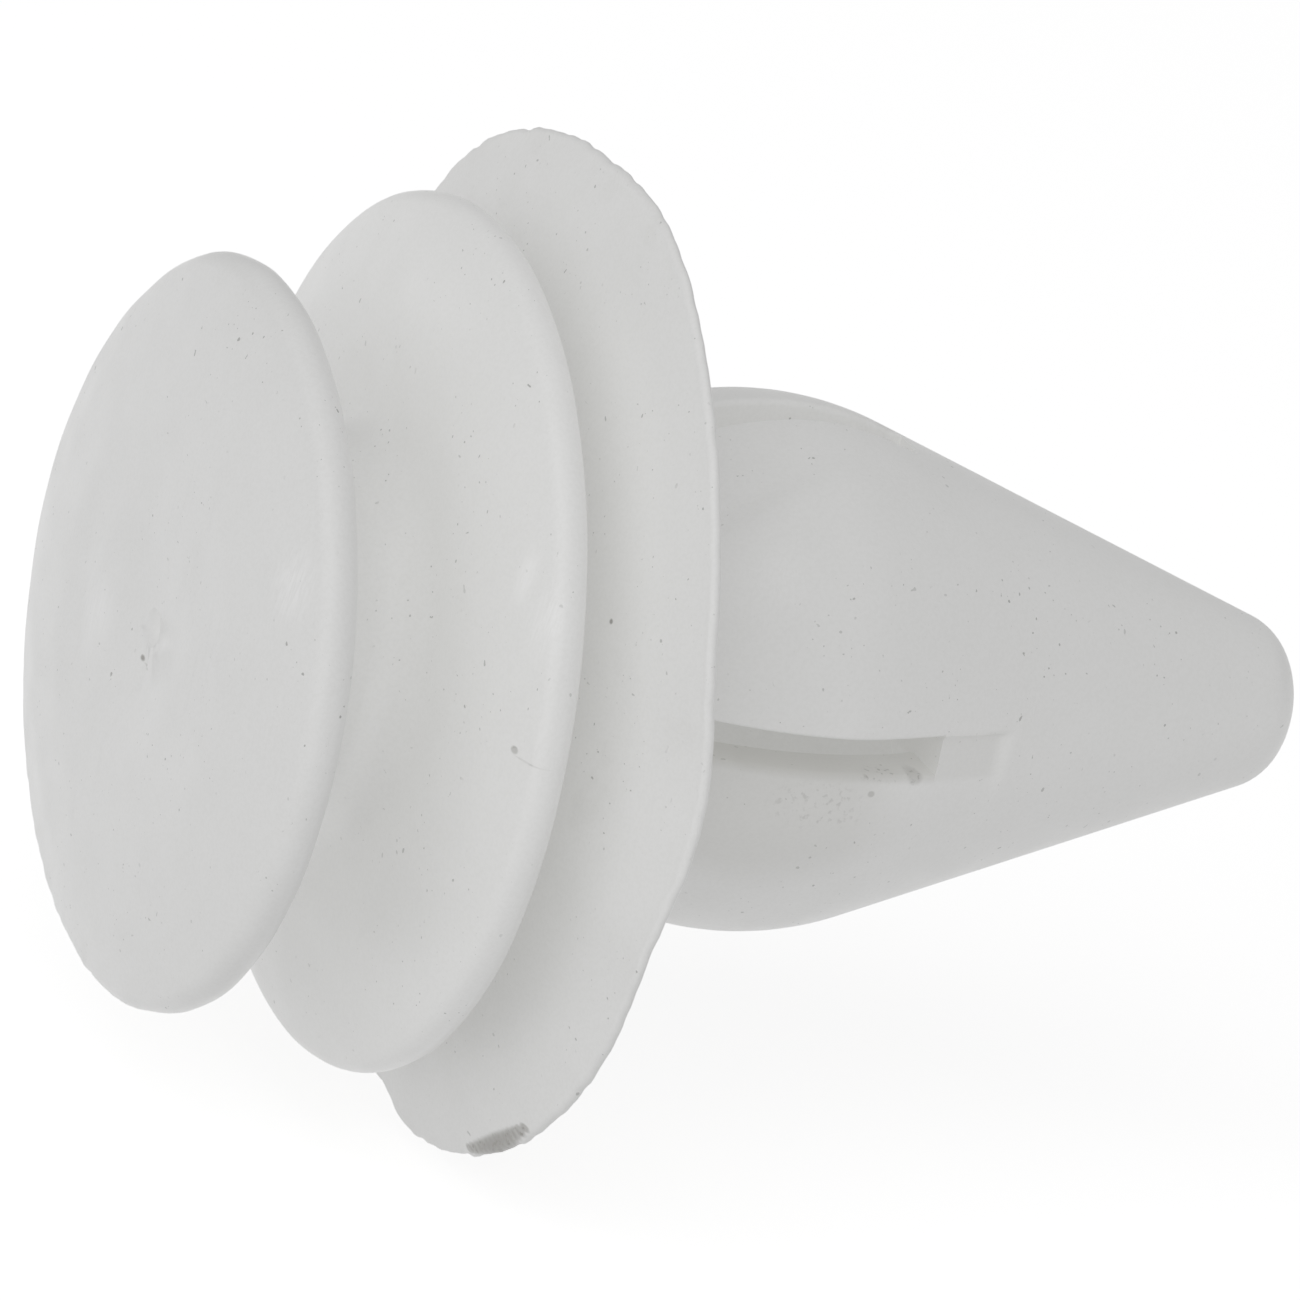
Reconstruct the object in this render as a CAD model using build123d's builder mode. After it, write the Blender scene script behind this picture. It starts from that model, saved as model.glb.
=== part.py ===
from build123d import *
import math
import os

os.makedirs("parts", exist_ok=True)

# A push-in trim clip, moulded in one piece of nylon.
# The clip's axis is the Y axis, and +Y points at the nose, into the panel. The origin is on the axis, in the
# plane of the skirt's rim, which is where the face of the panel lies. Millimetres.

# Head: a round disc with a flat middle, a sloping outer zone and a rounded rim.
head_radius = 7.5
head_rim_thickness = 0.95
head_rim_middle = -6.85           # Y of the middle of the rim
head_face_radius = 5.25
head_face_height = 0.55           # the flat middle stands this far in front of the rim
gate_mark_radius = 0.45
gate_mark_depth = 0.25

# Neck: the round post that stands in the keyhole of the trim.
neck_radius = 3.6
neck_length = 1.5
head_neck_round = 0.45
flange_neck_round = 0.9

# Retaining flange: a shallow cone, hollow underneath, with a rounded rim.
flange_radius = 8.65
flange_rim_thickness = 0.8
flange_slope = 10.0               # degrees from square to the axis
flange_web = 0.7                  # thickness beside the collar

# Collar: the solid middle that carries the skirt and the shank.
collar_radius = 4.1
collar_end = 0.9                  # Y of its end face inside the panel

# Skirt: a thin umbrella, a fixed inner ring and a lip that bends back.
skirt_radius = 10.0
skirt_height = 1.5                # from the rim's plane to the middle of its root
skirt_root_thickness = 0.6
skirt_lip_thickness = 0.38
skirt_crown = 0.1                 # how far the middle of the umbrella bows out of a straight cone
skirt_bend_radius = 6.9           # where the lip begins
skirt_bend_clearance = 0.06

# Shank: a bulging cone.
throat_radius = 4.0
throat_slope = 30.0               # degrees from the axis, behind the panel
shoulder_radius = 5.35
shoulder_at = 4.8                 # Y of the widest place
shoulder_round = 6.5
cone_slope = 20.5                 # degrees from the axis
tip_at = 16.5
tip_round = 1.35

# The shank is cut in quarters by two crossing slots: two sprung legs and two fixed rails.
slot_width = 0.75
slot_end = 7.4                    # Y of the nose's flat end
leg_start = 1.5                   # Y of the free end of each leg
leg_wall = 1.1
rail_inset = 0.1                  # the rails lie this far inside the legs' outline
rail_wall = 1.3
web_thickness = 2.4

# Living hinges: thin tongues between the nose and the ends of the legs.
hinge_gap = 0.3
hinge_width = 3.0
hinge_wall = 0.6
hinge_inset = 0.2

# Worked out from the sizes above.
head_rim_front = head_rim_middle - head_rim_thickness / 2
head_rim_back = head_rim_middle + head_rim_thickness / 2
head_face = head_rim_front - head_face_height
neck_start = head_rim_back + head_neck_round
neck_end = neck_start + neck_length
slope = math.radians(flange_slope)
flange_cone_start_radius = neck_radius + flange_neck_round * (1 - math.sin(slope))
flange_cone_start = neck_end + flange_neck_round * math.cos(slope)
flange_rim_corner = flange_radius - flange_rim_thickness / 2
flange_rim_front = flange_cone_start + (flange_rim_corner - flange_cone_start_radius) * math.tan(slope)
flange_rim_back = flange_rim_front + flange_rim_thickness
flange_back = flange_cone_start + flange_web
half_slot = slot_width / 2
reach = 2 * shoulder_radius       # longer than anything across the shank

# The shoulder is an arc between the throat's slope and the cone; this is where the two slopes would meet.
half_turn = math.radians((cone_slope + throat_slope) / 2)
lean = math.radians((throat_slope - cone_slope) / 2)
corner_radius = shoulder_radius - shoulder_round + shoulder_round * math.cos(lean) / math.cos(half_turn)
corner_at = shoulder_at - shoulder_round * math.sin(lean) / math.cos(half_turn)
throat_at = corner_at - (corner_radius - throat_radius) / math.tan(math.radians(throat_slope))
tip_corner_radius = corner_radius - (tip_at - corner_at) * math.tan(math.radians(cone_slope))


def shank_half(start, end, outer_inset, inner_inset=None):
    """Half section of the shank from Y = start to end, outer_inset inside its outline.

    With inner_inset it is a wall, that far inside the outline at its inner face. Without, it is solid.
    """
    with BuildSketch(Plane.XY) as half:
        with BuildLine():
            Polyline(
                (-reach, collar_end - reach),
                (throat_radius - outer_inset, collar_end - reach),
                (throat_radius - outer_inset, throat_at),
                (corner_radius - outer_inset, corner_at),
                (tip_corner_radius - outer_inset, tip_at),
                (-reach, tip_at),
                close=True,
            )
        make_face()
        shoulder = half.vertices().sort_by(Axis.X)[-1]
        fillet(shoulder, radius=shoulder_round)
        if inner_inset is not None:
            add(shank_half(start, end, inner_inset), mode=Mode.SUBTRACT)
        with Locations((0, start)):
            Rectangle(reach, end - start, align=(Align.MIN, Align.MIN), mode=Mode.INTERSECT)
    return half.sketch


def skirt_half(inner, outer):
    """Half section of the umbrella skirt between two radii, cut square to the radius."""
    root_at = -skirt_height
    middle = (collar_radius + skirt_radius) / 2
    with BuildSketch(Plane.XY) as half:
        with BuildLine():
            ThreePointArc(
                (collar_radius, root_at - skirt_root_thickness / 2),
                (middle, root_at / 2 - skirt_crown - (skirt_root_thickness + skirt_lip_thickness) / 4),
                (skirt_radius, -skirt_lip_thickness),
            )
            Line((skirt_radius, -skirt_lip_thickness), (skirt_radius, 0))
            ThreePointArc(
                (skirt_radius, 0),
                (middle, root_at / 2 - skirt_crown + (skirt_root_thickness + skirt_lip_thickness) / 4),
                (collar_radius, root_at + skirt_root_thickness / 2),
            )
            Line(
                (collar_radius, root_at + skirt_root_thickness / 2),
                (collar_radius, root_at - skirt_root_thickness / 2),
            )
        make_face()
        with Locations((inner, 0)):
            Rectangle(outer - inner, reach, align=(Align.MIN, Align.CENTER), mode=Mode.INTERSECT)
    return half.sketch


# Head disc: the flat face, the sloping zone, the round rim and the round that runs down to the neck.
with BuildPart() as head_disc:
    with BuildSketch(Plane.XY) as head_section:
        with BuildLine():
            Polyline(
                (0, head_face),
                (head_face_radius, head_face),
                (head_radius, head_rim_front),
                (head_radius, head_rim_back),
                (neck_radius + head_neck_round, head_rim_back),
            )
            RadiusArc(
                (neck_radius + head_neck_round, head_rim_back),
                (neck_radius, neck_start),
                head_neck_round,
            )
            Polyline((neck_radius, neck_start), (0, neck_start), (0, head_face))
        make_face()
        rim_corners = head_section.vertices().group_by(Axis.X)[-1]
        fillet(rim_corners, radius=head_rim_thickness * 0.45)
        face_corner = head_section.vertices().filter_by_position(
            Axis.X, head_face_radius - 0.01, head_face_radius + 0.01
        )
        fillet(face_corner, radius=1.2)
    revolve(axis=Axis.Y)
    with BuildSketch(Plane.XZ.offset(-head_face)):
        Circle(gate_mark_radius)
    extrude(amount=-gate_mark_depth, taper=30, mode=Mode.SUBTRACT)
head_disc.part.label = "head_disc"
export_step(head_disc.part, "parts/head_disc.step")

# Neck post: the plain round stretch between the two rounds.
with BuildPart() as neck_post:
    with BuildSketch(Plane.XZ.offset(-neck_start)):
        Circle(neck_radius)
    extrude(amount=-neck_length)
neck_post.part.label = "neck_post"
export_step(neck_post.part, "parts/neck_post.step")

# Retaining flange: a round up from the neck, a shallow cone, a rounded rim, hollow towards the skirt.
with BuildPart() as retaining_flange:
    with BuildSketch(Plane.XY) as flange_section:
        with BuildLine():
            Polyline((0, flange_back), (0, neck_end), (neck_radius, neck_end))
            RadiusArc(
                (neck_radius, neck_end),
                (flange_cone_start_radius, flange_cone_start),
                flange_neck_round,
            )
            Polyline(
                (flange_cone_start_radius, flange_cone_start),
                (flange_radius, flange_rim_front),
                (flange_radius, flange_rim_back),
                (flange_rim_corner, flange_rim_back),
                (collar_radius, flange_back),
                (0, flange_back),
            )
        make_face()
        rim_corners = flange_section.vertices().group_by(Axis.X)[-1]
        fillet(rim_corners, radius=flange_rim_thickness * 0.42)
    revolve(axis=Axis.Y)
retaining_flange.part.label = "retaining_flange"
export_step(retaining_flange.part, "parts/retaining_flange.step")

# Seat collar: the solid middle behind the flange.
with BuildPart() as seat_collar:
    with BuildSketch(Plane.XZ.offset(-flange_back)):
        Circle(collar_radius)
    extrude(amount=flange_back - collar_end)
seat_collar.part.label = "seat_collar"
export_step(seat_collar.part, "parts/seat_collar.step")

# Skirt: the root ring is fast to the collar, and the lip starts one clearance outside it.
with BuildPart() as skirt_root:
    add(skirt_half(collar_radius, skirt_bend_radius))
    revolve(axis=Axis.Y)
skirt_root.part.label = "skirt_root"
export_step(skirt_root.part, "parts/skirt_root.step")

with BuildPart() as skirt_lip:
    add(skirt_half(skirt_bend_radius + skirt_bend_clearance, skirt_radius))
    revolve(axis=Axis.Y)
skirt_lip.part.label = "skirt_lip"
export_step(skirt_lip.part, "parts/skirt_lip.step")

# Nose cone: solid from the end of the slots to the rounded tip.
with BuildPart() as nose_cone:
    add(shank_half(slot_end, tip_at, 0))
    revolve(axis=Axis.Y)
    tip_edge = nose_cone.edges().filter_by(GeomType.CIRCLE).sort_by(Axis.Y)[-1]
    fillet(tip_edge, radius=tip_round)
nose_cone.part.label = "nose_cone"
export_step(nose_cone.part, "parts/nose_cone.step")

# Spine web: a slab on the diagonal between the two rails, from the collar to the nose.
with BuildPart() as spine_web:
    add(shank_half(collar_end, slot_end, rail_inset + rail_wall))
    revolve(axis=Axis.Y)
    with Locations(Location((0, 0, 0), (0, 45, 0))):
        Box(reach, 2 * tip_at, web_thickness, mode=Mode.INTERSECT)
spine_web.part.label = "spine_web"
export_step(spine_web.part, "parts/spine_web.step")

# Lower rail: the fixed quarter on the +X -Z side, its long edges rounded towards the slots.
with BuildPart() as lower_rail:
    add(shank_half(collar_end, slot_end, rail_inset, rail_inset + rail_wall))
    revolve(axis=Axis.Y)
    with Locations((half_slot, 0, -half_slot)):
        Box(reach, 2 * tip_at, reach, align=(Align.MIN, Align.CENTER, Align.MAX), mode=Mode.INTERSECT)
lower_rail.part.label = "lower_rail"
export_step(lower_rail.part, "parts/lower_rail.step")

# Upper rail: the same quarter on the -X +Z side.
with BuildPart() as upper_rail:
    add(lower_rail.part, rotation=(0, 180, 0))
upper_rail.part.label = "upper_rail"
export_step(upper_rail.part, "parts/upper_rail.step")

# Upper leg: the sprung quarter on the +X +Z side, free at the panel's end.
with BuildPart() as upper_leg:
    add(shank_half(leg_start, slot_end - hinge_gap, 0, leg_wall))
    revolve(axis=Axis.Y)
    with Locations((half_slot, 0, half_slot)):
        Box(reach, 2 * tip_at, reach, align=(Align.MIN, Align.CENTER, Align.MIN), mode=Mode.INTERSECT)
upper_leg.part.label = "upper_leg"
export_step(upper_leg.part, "parts/upper_leg.step")

# Lower leg: the same quarter on the -X -Z side.
with BuildPart() as lower_leg:
    add(upper_leg.part, rotation=(0, 180, 0))
lower_leg.part.label = "lower_leg"
export_step(lower_leg.part, "parts/lower_leg.step")

# Living hinges: a thin tongue from the nose to the end of each leg.
with BuildPart() as upper_leg_hinge:
    add(shank_half(slot_end - hinge_gap, slot_end, hinge_inset, hinge_inset + hinge_wall))
    revolve(axis=Axis.Y)
    with Locations(Location((0, 0, 0), (0, -45, 0))):
        Box(
            reach,
            2 * tip_at,
            hinge_width,
            align=(Align.MIN, Align.CENTER, Align.CENTER),
            mode=Mode.INTERSECT,
        )
upper_leg_hinge.part.label = "upper_leg_hinge"
export_step(upper_leg_hinge.part, "parts/upper_leg_hinge.step")

with BuildPart() as lower_leg_hinge:
    add(upper_leg_hinge.part, rotation=(0, 180, 0))
lower_leg_hinge.part.label = "lower_leg_hinge"
export_step(lower_leg_hinge.part, "parts/lower_leg_hinge.step")

# The hinge lines of the legs: square to the diagonal, through the middle of the tongue.
hinge_at = slot_end - hinge_gap / 2
hinge_line_radius = (
    corner_radius
    - (hinge_at - corner_at) * math.tan(math.radians(cone_slope))
    - hinge_inset
    - hinge_wall / 2
)
print("upper leg hinge line at", hinge_line_radius / math.sqrt(2), hinge_at, hinge_line_radius / math.sqrt(2))
print("flange rim from", flange_rim_front, "to", flange_rim_back, "neck", neck_start, neck_end)
print("head face", head_face, "throat", throat_at, "tip corner radius", tip_corner_radius)
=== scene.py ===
# %% [markdown]
# # A push-in trim clip
# The clip is one moulding of natural nylon: a flat head, a neck, a second flange, a thin umbrella skirt and a
# slotted cone that squeezes through a hole and springs out behind it. The frame holds its sizes and joints.
# Every surface here is worked out from those sizes, so the clip is drawn in its own frame: +Y runs along its
# axis towards the nose, and the origin lies in the plane of the skirt's rim.

# %% The frame
import math

import bpy
import numpy as np
from mathutils import Matrix, Vector


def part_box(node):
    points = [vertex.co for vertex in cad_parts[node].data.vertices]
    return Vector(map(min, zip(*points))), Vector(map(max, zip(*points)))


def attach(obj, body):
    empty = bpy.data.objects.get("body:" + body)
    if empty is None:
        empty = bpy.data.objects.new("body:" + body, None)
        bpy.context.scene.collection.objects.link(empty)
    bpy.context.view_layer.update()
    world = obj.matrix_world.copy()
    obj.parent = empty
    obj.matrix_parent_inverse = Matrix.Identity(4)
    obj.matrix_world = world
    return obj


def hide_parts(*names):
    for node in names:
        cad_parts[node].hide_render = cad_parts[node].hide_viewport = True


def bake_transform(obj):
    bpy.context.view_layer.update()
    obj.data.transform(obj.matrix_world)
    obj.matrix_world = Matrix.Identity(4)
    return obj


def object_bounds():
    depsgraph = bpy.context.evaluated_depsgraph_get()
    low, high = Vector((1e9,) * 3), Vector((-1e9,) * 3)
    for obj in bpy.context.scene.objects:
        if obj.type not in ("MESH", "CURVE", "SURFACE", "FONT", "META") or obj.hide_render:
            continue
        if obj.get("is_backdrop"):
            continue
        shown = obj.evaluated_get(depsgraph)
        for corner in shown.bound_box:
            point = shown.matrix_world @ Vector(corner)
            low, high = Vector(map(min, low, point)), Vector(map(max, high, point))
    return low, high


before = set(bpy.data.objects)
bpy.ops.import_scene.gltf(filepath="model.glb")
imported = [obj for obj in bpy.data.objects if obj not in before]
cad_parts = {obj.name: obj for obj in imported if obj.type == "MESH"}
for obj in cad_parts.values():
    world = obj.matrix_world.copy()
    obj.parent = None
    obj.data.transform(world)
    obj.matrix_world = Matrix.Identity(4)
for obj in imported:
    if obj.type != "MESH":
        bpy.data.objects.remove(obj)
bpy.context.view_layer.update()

MM = 0.001

# %% [markdown]
# ## Sizes from the frame
# A node's box gives the radius of a turned feature and where it starts and ends along the axis. The sizes
# that a box can't give, such as the roundness of a rim, are named beside the piece. All are in millimetres.

# %% Sizes


def box_mm(node):
    """Lowest and highest corner of a CAD node, in millimetres."""
    low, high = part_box(node)
    return np.array(low) / MM, np.array(high) / MM


head_low, head_high = box_mm("head_disc")
neck_low, neck_high = box_mm("neck_post")
flange_low, flange_high = box_mm("retaining_flange")
collar_low, collar_high = box_mm("seat_collar")
root_low, root_high = box_mm("skirt_root")
lip_high = box_mm("skirt_lip")[1]
leg_low, leg_high = box_mm("upper_leg")
rail_low = box_mm("lower_rail")[0]
nose_low, nose_high = box_mm("nose_cone")

head_radius = head_high[0]
neck_radius = neck_high[0]
flange_radius = flange_high[0]
collar_radius = collar_high[0]
skirt_radius = lip_high[0]
shoulder_radius = leg_high[0]
half_slot = leg_low[0]
slot_end = nose_low[1]
tip_at = nose_high[1]
print("head", head_radius, "neck", neck_radius, "flange", flange_radius, "skirt", skirt_radius)
print("shoulder", shoulder_radius, "slot", 2 * half_slot, "slots end at", slot_end, "tip at", tip_at)

# %% [markdown]
# ## From a formula to a mesh
# A surface that depends on two parameters is a grid of points. Numpy works out the whole grid at once, and
# the faces join each point to its neighbours. A turned piece is a profile carried round the axis, with one
# vertex at each pole. A leg, a rail or the web is a closed loop carried along the axis, with its two ends
# closed by a strip of faces across the loop. Both come out closed, with faces that point outwards.

# %% Grids of faces


def ring_faces(rings, around):
    """Quads between neighbouring rings of points, each ring closed on itself."""
    ring = np.arange(rings - 1)[:, None] * around
    here = np.arange(around)[None, :]
    after = (here + 1) % around
    quads = np.stack([ring + here, ring + after, ring + around + after, ring + around + here], -1)
    return quads.reshape(-1, 4)


def end_strips(rings, around):
    """Faces that close the first and the last loop, each from one side of the loop straight to the other."""
    here = np.arange(around // 2 - 1)
    strip = np.stack([here, here + 1, around - 2 - here, around - 1 - here], -1)
    return [strip[:, ::-1], strip + (rings - 1) * around]


def mesh_object(name, points, faces, sharp_angle=38):
    """A smooth-shaded object from points in millimetres and lists of faces, at the origin, faces outward."""
    mesh = bpy.data.meshes.new(name)
    mesh.from_pydata((np.asarray(points) * MM).tolist(), [], [f for group in faces for f in group.tolist()])
    mesh.validate()
    piece = bpy.data.objects.new(name, mesh)
    bpy.context.scene.collection.objects.link(piece)
    mesh.shade_smooth()
    mesh.set_sharp_from_angle(angle=math.radians(sharp_angle))
    volume = signed_volume(mesh)
    if volume < 0:
        mesh.flip_normals()
    print(name, len(mesh.polygons), "faces,", round(abs(volume) / MM**3, 1), "mm3")
    return piece


def signed_volume(mesh):
    """Sum over triangles of a . (b x c) / 6, which is the volume when the faces point outwards."""
    mesh.calc_loop_triangles()
    corners = np.empty(len(mesh.vertices) * 3)
    mesh.vertices.foreach_get("co", corners)
    triangles = np.empty(len(mesh.loop_triangles) * 3, np.int32)
    mesh.loop_triangles.foreach_get("vertices", triangles)
    a, b, c = corners.reshape(-1, 3)[triangles.reshape(-1, 3)].transpose(1, 0, 2)
    return float((a * np.cross(b, c)).sum() / 6)


# %% Turned pieces
def turned(name, profile, shift=None, around=240, lean=None):
    """Carries a profile of (radius, y) pairs round the Y axis.

    A point is (radius cos t, y, radius sin t). The profile starts and ends on the axis, where it has one
    vertex. shift(radius, y, t) may return changed radius and y, for marks and waves.
    """
    turn = np.linspace(0, 2 * np.pi, around, endpoint=False)[None, :]
    radius = profile[1:-1, 0][:, None] + 0 * turn
    along = profile[1:-1, 1][:, None] + 0 * turn
    if shift:
        radius, along = shift(radius, along, turn + 0 * radius)
    rings = np.stack([radius * np.cos(turn), along, radius * np.sin(turn)], -1)
    count = len(rings)
    points = np.concatenate([rings.reshape(-1, 3), [[0, profile[0, 1], 0], [0, profile[-1, 1], 0]]])
    if lean:
        points = points + lean(points[:, 1:2])
    here = np.arange(around)
    after = (here + 1) % around
    last = (count - 1) * around
    start_fan = np.stack([after, here, here * 0 + count * around], -1)
    end_fan = np.stack([last + here, last + after, here * 0 + count * around + 1], -1)
    return mesh_object(name, points, [ring_faces(count, around), start_fan, end_fan])


def rounded(corners, step=0.12):
    """A profile through (radius, y, round) corners, each corner replaced by an arc of its round.

    The arc touches both sides at round * tan(half the turn) from the corner. Straight runs and arcs are
    sampled at about one step.
    """
    corners = np.array(corners, float)
    path = [corners[0, :2]]
    for before, corner, after in zip(corners[:-2], corners[1:-1], corners[2:]):
        into = (corner[:2] - before[:2]) / np.linalg.norm(corner[:2] - before[:2])
        out = (after[:2] - corner[:2]) / np.linalg.norm(after[:2] - corner[:2])
        half_turn = math.acos(np.clip(into @ out, -1, 1)) / 2
        if corner[2] == 0 or half_turn < 1e-4:
            path.append(corner[:2])
            continue
        reach = corner[2] * math.tan(half_turn)
        middle = corner[:2] + (out - into) / np.linalg.norm(out - into) * corner[2] / math.cos(half_turn)
        first = corner[:2] - into * reach - middle
        last = corner[:2] + out * reach - middle
        blend = np.linspace(0, 1, max(5, int(2 * half_turn * corner[2] / step) + 2))
        arc = (
            np.sin((1 - blend) * 2 * half_turn)[:, None] * first
            + np.sin(blend * 2 * half_turn)[:, None] * last
        ) / math.sin(2 * half_turn)
        path.extend(middle + arc)
    path.append(corners[-1, :2])
    path = np.array(path)
    dense = [path[:1]]
    for a, b in zip(path[:-1], path[1:]):
        count = max(1, int(np.linalg.norm(b - a) / (3 * step)))
        dense.append(a + (b - a) * (np.arange(1, count + 1) / count)[:, None])
    return np.concatenate(dense)


def waves(turn, seed, lobes, size):
    """A sum of cosines of t, one for each number of lobes, with seeded phases, about size high."""
    phase = np.random.default_rng(seed).uniform(0, 2 * np.pi, len(lobes))
    return size * sum(np.cos(n * turn + p) for n, p in zip(lobes, phase)) / len(lobes) ** 0.5


# %% [markdown]
# ## Head
# The head is what a thumb pushes. Its middle is flat and very slightly dished, because thick nylon shrinks as
# it cools. The zone outside slopes back to a thick round rim, which is worn flat on one side and a little
# ragged on another. In the middle is the mark of the moulding gate: a shallow dimple with the torn stub of
# the feed and a pit in it. The profile is turned, and each mark is added to Y as a function of the distance
# from its own centre.

# %% Head
head_rim_thickness = 0.82
head_dome = 0.68
head_rim_front = head_low[1] + head_dome
head_face_radius = 5.25
head_round = 0.44
dish_depth = 0.05
dimple_at = (-0.1, -0.1)
dimple_radius = 2.35
dimple_depth = 0.22
dimple_lip = 0.075
dimple_lip_width = 0.42
stub_at = (0.9, -0.3)
stub_half_width = 0.3
stub_half_length = 0.62
stub_height = 0.20
pit_at = (-0.02, -0.97)
pit_radius = 0.34
pit_depth = 0.16
worn_depth = 0.30
ragged_size = 0.022
head_offset = np.array([[0.16, 0, -0.27]])


def bump(distance, radius):
    """1 at distance 0, falling as (1 - q^2)^2 with q = distance / radius, and 0 from the radius on."""
    return np.clip(1 - (distance / radius) ** 2, 0, None) ** 2


def apart(turn, middle):
    """Angle between turn and middle, from 0 to pi."""
    return np.abs((turn - middle + np.pi) % (2 * np.pi) - np.pi)


def neck_lean(along):
    """The head sits a little off the axis: the neck leans smoothly between its two ends."""
    q = np.clip((neck_high[1] - along) / (neck_high[1] - neck_low[1]), 0, 1)
    return q * q * (3 - 2 * q) * head_offset


def head_marks(radius, along, turn):
    """Dish, dimple with its lip, stub and pit on the face; a flat and a faint raggedness on the rim.

    The lip is highest on the -X side. The stub is a ridge that slants 4 across for 3 up.
    """
    face = along < head_rim_front - 0.1
    across = radius * np.cos(turn)
    up = radius * np.sin(turn)
    from_dimple = np.hypot(across - dimple_at[0], (up - dimple_at[1]) * 0.95)
    lip_side = 0.35 + 0.65 * bump(apart(np.arctan2(up, across), np.pi), 1.1)
    across_stub = (across - stub_at[0]) * 0.6 - (up - stub_at[1]) * 0.8
    along_stub = (across - stub_at[0]) * 0.8 + (up - stub_at[1]) * 0.6
    from_stub = np.hypot(across_stub / stub_half_width, along_stub / stub_half_length)
    mark = dish_depth * bump(radius, head_face_radius)
    mark = mark + dimple_depth * bump(from_dimple, dimple_radius)
    mark = mark - dimple_lip * np.exp(-(((from_dimple - dimple_radius) / dimple_lip_width) ** 2)) * lip_side
    mark = mark - stub_height * bump(from_stub, 1.0)
    mark = mark + pit_depth * bump(np.hypot(across - pit_at[0], up - pit_at[1]), pit_radius)
    along = along + np.where(face, mark, 0)
    rim = np.clip((radius - head_face_radius) / (head_radius - head_face_radius), 0, 1) ** 2
    worn = worn_depth * bump(apart(turn, math.radians(140)), 0.85)
    ragged = waves(turn, 31, (37, 53, 71, 97), ragged_size) * bump(apart(turn, math.radians(-115)), 0.9)
    radius = radius + rim * (waves(turn, 3, (2, 3, 7, 11, 23), 0.02) - worn + ragged)
    return radius, along


head_profile = rounded(
    [
        (0, head_low[1], 0),
        (4.2, head_low[1], 4.0),
        (6.1, head_low[1] + 0.30, 5.0),
        (head_radius, head_rim_front, head_round),
        (head_radius, head_rim_front + head_rim_thickness, head_round),
        (neck_radius, head_rim_front + head_rim_thickness, 0.45),
        (neck_radius, head_high[1], 0),
        (0, head_high[1], 0),
    ]
)
head = turned("head", head_profile, head_marks, around=360, lean=neck_lean)

# %% [markdown]
# ## Neck and retaining flange
# The neck stands in the keyhole of the trim, and the flange traps the keyhole's edge against the head. The
# flange grows out of the neck with a generous round, runs out nearly flat, and falls away towards its rim in
# a wide soft curve, so that it leads the keyhole's edge in. The neck and the flange meet where both profiles
# run along the axis, so the shading passes over the seam without a step.

# %% Neck and flange
neck_round = 0.9
flange_round = 0.38
flange_knee = (7.3, 0.36)
flange_rim_back = 0.85
flange_foot = flange_low[1] + neck_round * (1 - math.tan(math.radians(5)))

neck_along = np.linspace(neck_low[1], neck_high[1], 14)
neck_side = np.stack([neck_radius + 0 * neck_along, neck_along], -1)
neck_profile = np.concatenate([[[0, neck_low[1]]], neck_side, [[0, neck_high[1]]]])
neck = turned("neck", neck_profile, lean=neck_lean)


def flange_wave(radius, along, turn):
    """The rim is a few hundredths out of round and out of flat, as a cooled moulding is."""
    out = np.clip((radius - neck_radius) / (flange_radius - neck_radius), 0, 1)
    radius = radius + out * waves(turn, 5, (2, 3, 5, 17), 0.01)
    return radius, along + out**2 * waves(turn, 6, (2, 3, 4), 0.02)


flange_profile = rounded(
    [
        (0, flange_low[1], 0),
        (neck_radius, flange_low[1], 0),
        (neck_radius, flange_foot, neck_round),
        (5.7, flange_foot + 0.10, 4.0),
        (flange_knee[0], flange_foot + flange_knee[1], 5.0),
        (flange_radius, flange_foot + flange_rim_back, flange_round),
        (flange_radius, flange_high[1], flange_round),
        (flange_radius - 0.5, flange_high[1], 0.5),
        (collar_radius, collar_low[1], 0),
        (0, collar_low[1], 0),
    ]
)
flange = turned("flange", flange_profile, flange_wave)

# %% [markdown]
# ## Collar and umbrella skirt
# The collar is the solid middle that everything behind the flange grows from. The skirt is moulded as thin as
# the nylon will run, so that it flattens on the panel and seals the hole. Its rim is where the two halves of
# the mould close, and a little nylon creeps between them: the rim is wavy and has a ragged edge of flash.
# This clip's skirt has also been knocked: the rim bulges at three places, is nicked at one, and is pushed
# towards the nose at one. The skirt is a turned shell that thins towards the rim, and all of these grow as a
# power of the distance out, so the shell stays smooth near the collar.

# %% Collar and skirt
collar_profile = rounded(
    [
        (0, collar_low[1], 0),
        (collar_radius, collar_low[1], 0),
        (collar_radius, collar_high[1], 0.25),
        (0, collar_high[1], 0),
    ]
)
collar = turned("collar", collar_profile)

skirt_root_y = (root_low[1] + root_high[1]) / 2 - 0.1
skirt_root_thickness = 0.6
skirt_lip_thickness = 0.24
skirt_crown = 0.1
flash_size = 0.024
rim_bulges = ((0.28, 0.75, 0.8), (0.34, 1.27, 0.42), (0.20, -0.8, 0.7), (-0.34, -1.67, 0.2))
rim_push = (0.30, 0.02, 0.34)


def skirt_middle(out):
    """Y of the middle of the wall, from 0 at the collar to 1 at the rim: a cone with a small crown."""
    return skirt_root_y * (1 - out) - skirt_crown * 4 * out * (1 - out) - skirt_lip_thickness / 2 * out


def skirt_wall(out):
    """Thickness of the skirt, with a flare into the collar."""
    flare = 0.35 * np.exp(-out * 18)
    return skirt_root_thickness + (skirt_lip_thickness - skirt_root_thickness) * out + flare


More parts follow.
